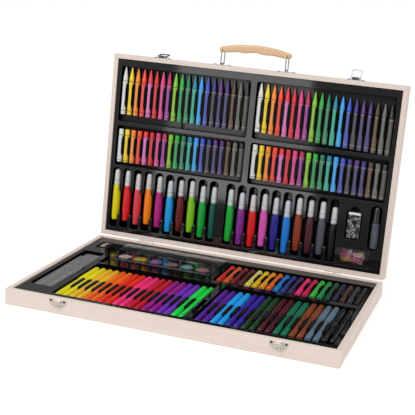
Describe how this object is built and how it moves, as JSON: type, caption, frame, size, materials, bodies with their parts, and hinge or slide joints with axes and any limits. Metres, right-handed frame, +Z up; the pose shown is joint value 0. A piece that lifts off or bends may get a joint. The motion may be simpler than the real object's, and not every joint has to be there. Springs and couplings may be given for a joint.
{
  "type": "hinged art supply case",
  "caption": "Shallow wooden briefcase-style art case, hinged open, both halves fitted with moulded trays of crayons, markers, pens and paints.",
  "frame": {"origin": "middle of the base's underside", "axes": "+X along the hinge to the viewer's right, +Y from the base's front to the hinge, +Z up"},
  "size_m": [0.53, 0.3954, 0.395],
  "materials": {
    "black_plastic": "black plastic",
    "blade_steel": "ground steel",
    "brush_lacquer": "lacquered handle",
    "case_wood": "pale clear-coated softwood, fine grain",
    "clear_plastic": "clear plastic",
    "clip_wire": "vinyl-coated wire, a colour each",
    "crayon_mix": "wax in paper wrappers, a colour each",
    "eraser_white": "white vinyl",
    "frosted_plastic": "frosted grey plastic",
    "handle_wood": "tan beech, satin",
    "hinge_brass": "nickelled steel",
    "marker_body": "printed plastic, a colour each",
    "marker_cap": "milky white moulded plastic with a faint tint each",
    "nickel": "bright nickel",
    "paint_cake": "pressed watercolour, a colour each",
    "panel_wood": "pale plywood",
    "pen_body": "moulded plastic, a colour each",
    "pen_cap": "moulded plastic, a colour each",
    "sleeve_card": "black card with white flecks",
    "slim_mix": "wax sticks in paper wrappers, a colour each",
    "steel_screw": "nickelled steel",
    "stub_mix": "pressed chalk wax in paper wrappers, a colour each",
    "tray_black": "black vacuum-formed sheet, glossy"
  },
  "bodies": {
    "base": {"base_front_board": "case_wood", "base_back_board": "case_wood", "base_left_board": "case_wood", "base_right_board": "case_wood", "base_bottom_panel": "panel_wood", "base_tray": "tray_black", "hinge_left_base_leaf": "hinge_brass", "hinge_right_base_leaf": "hinge_brass", "hinge_left_pin": "hinge_brass", "hinge_right_pin": "hinge_brass", "hinge_screws_base": "steel_screw", "catch_left": "nickel", "catch_right": "nickel", "catch_screws": "steel_screw", "pen_barrels": "pen_body", "pen_caps": "pen_cap", "slim_crayons": "slim_mix", "slim_box": "frosted_plastic", "sharpener_body": "black_plastic", "sharpener_blade": "blade_steel"},
    "lid": {"lid_front_board": "case_wood", "lid_back_board": "case_wood", "lid_left_board": "case_wood", "lid_right_board": "case_wood", "lid_panel": "panel_wood", "lid_tray": "tray_black", "hinge_left_lid_leaf": "hinge_brass", "hinge_right_lid_leaf": "hinge_brass", "hinge_screws_lid": "steel_screw", "latch_left_plate": "nickel", "latch_right_plate": "nickel", "latch_left_pin": "nickel", "latch_right_pin": "nickel", "latch_screws": "steel_screw", "handle_bracket_left": "nickel", "handle_bracket_right": "nickel", "handle_screws": "steel_screw", "crayons_upper_left": "crayon_mix", "crayons_upper_right": "crayon_mix", "crayons_lower_left": "stub_mix", "crayons_lower_right": "stub_mix", "marker_barrels": "marker_body", "marker_caps": "marker_cap", "eraser": "eraser_white", "eraser_sleeve": "sleeve_card", "glue_pen_body": "clear_plastic", "glue_pen_cap": "black_plastic", "paper_clips": "clip_wire", "clip_cover": "clear_plastic"},
    "lever_left": {"latch_left_lever": "nickel"},
    "lever_right": {"latch_right_lever": "nickel"},
    "claw_left": {"latch_left_claw": "nickel"},
    "claw_right": {"latch_right_claw": "nickel"},
    "link_left": {"handle_link_left": "nickel"},
    "link_right": {"handle_link_right": "nickel"},
    "grip": {"handle_grip": "handle_wood"},
    "paint_box": {"paint_box_base": "black_plastic", "paint_pans": "paint_cake", "paint_brush": "brush_lacquer"},
    "paint_lid": {"paint_box_lid": "clear_plastic"}
  },
  "joints": [
    {"name": "lid_hinge", "type": "hinge", "parent": "base", "child": "lid", "pos_m": [0, 0.1667, 0.02625], "axis": [-1, 0, 0], "range_deg": [-95.7, 0]},
    {"name": "lever_left_press", "type": "hinge", "parent": "lid", "child": "lever_left", "pos_m": [-0.175, 0.2032, 0.35917], "axis": [1, 0, 0], "range_deg": [0, 90]},
    {"name": "lever_right_press", "type": "hinge", "parent": "lid", "child": "lever_right", "pos_m": [0.175, 0.2032, 0.35917], "axis": [1, 0, 0], "range_deg": [0, 90]},
    {"name": "claw_left_swing", "type": "hinge", "parent": "lever_left", "child": "claw_left", "pos_m": [-0.175, 0.20602, 0.35929], "axis": [-1, 0, 0], "range_deg": [-165, 5]},
    {"name": "claw_right_swing", "type": "hinge", "parent": "lever_right", "child": "claw_right", "pos_m": [0.175, 0.20602, 0.35929], "axis": [-1, 0, 0], "range_deg": [-100, 70]},
    {"name": "handle_swing", "type": "hinge", "parent": "lid", "child": "link_left", "pos_m": [-0.0648, 0.21256, 0.35733], "axis": [0, -0.9951, 0.0993], "range_deg": [-70, 70]},
    {"name": "handle_grip_pivot", "type": "hinge", "parent": "link_left", "child": "grip", "pos_m": [-0.0648, 0.21496, 0.38141], "axis": [0, -0.9951, 0.0993], "range_deg": [-70, 70]},
    {"name": "handle_follow", "type": "hinge", "parent": "lid", "child": "link_right", "pos_m": [0.0518, 0.21256, 0.35733], "axis": [0, -0.9951, 0.0993], "range_deg": [-70, 70]},
    {"name": "paint_box_lift", "type": "slide", "parent": "base", "child": "paint_box", "axis": [0, 0, 1], "range_m": [0, 0.06]},
    {"name": "paint_lid_hinge", "type": "hinge", "parent": "paint_box", "child": "paint_lid", "pos_m": [-0.106, 0.1494, 0.022], "axis": [-1, 0, 0], "range_deg": [0, 90]}
  ],
  "couplings": [
    {"joint": "handle_grip_pivot", "follows": "handle_swing", "ratio": -1},
    {"joint": "handle_follow", "follows": "handle_swing", "ratio": 1}
  ]
}
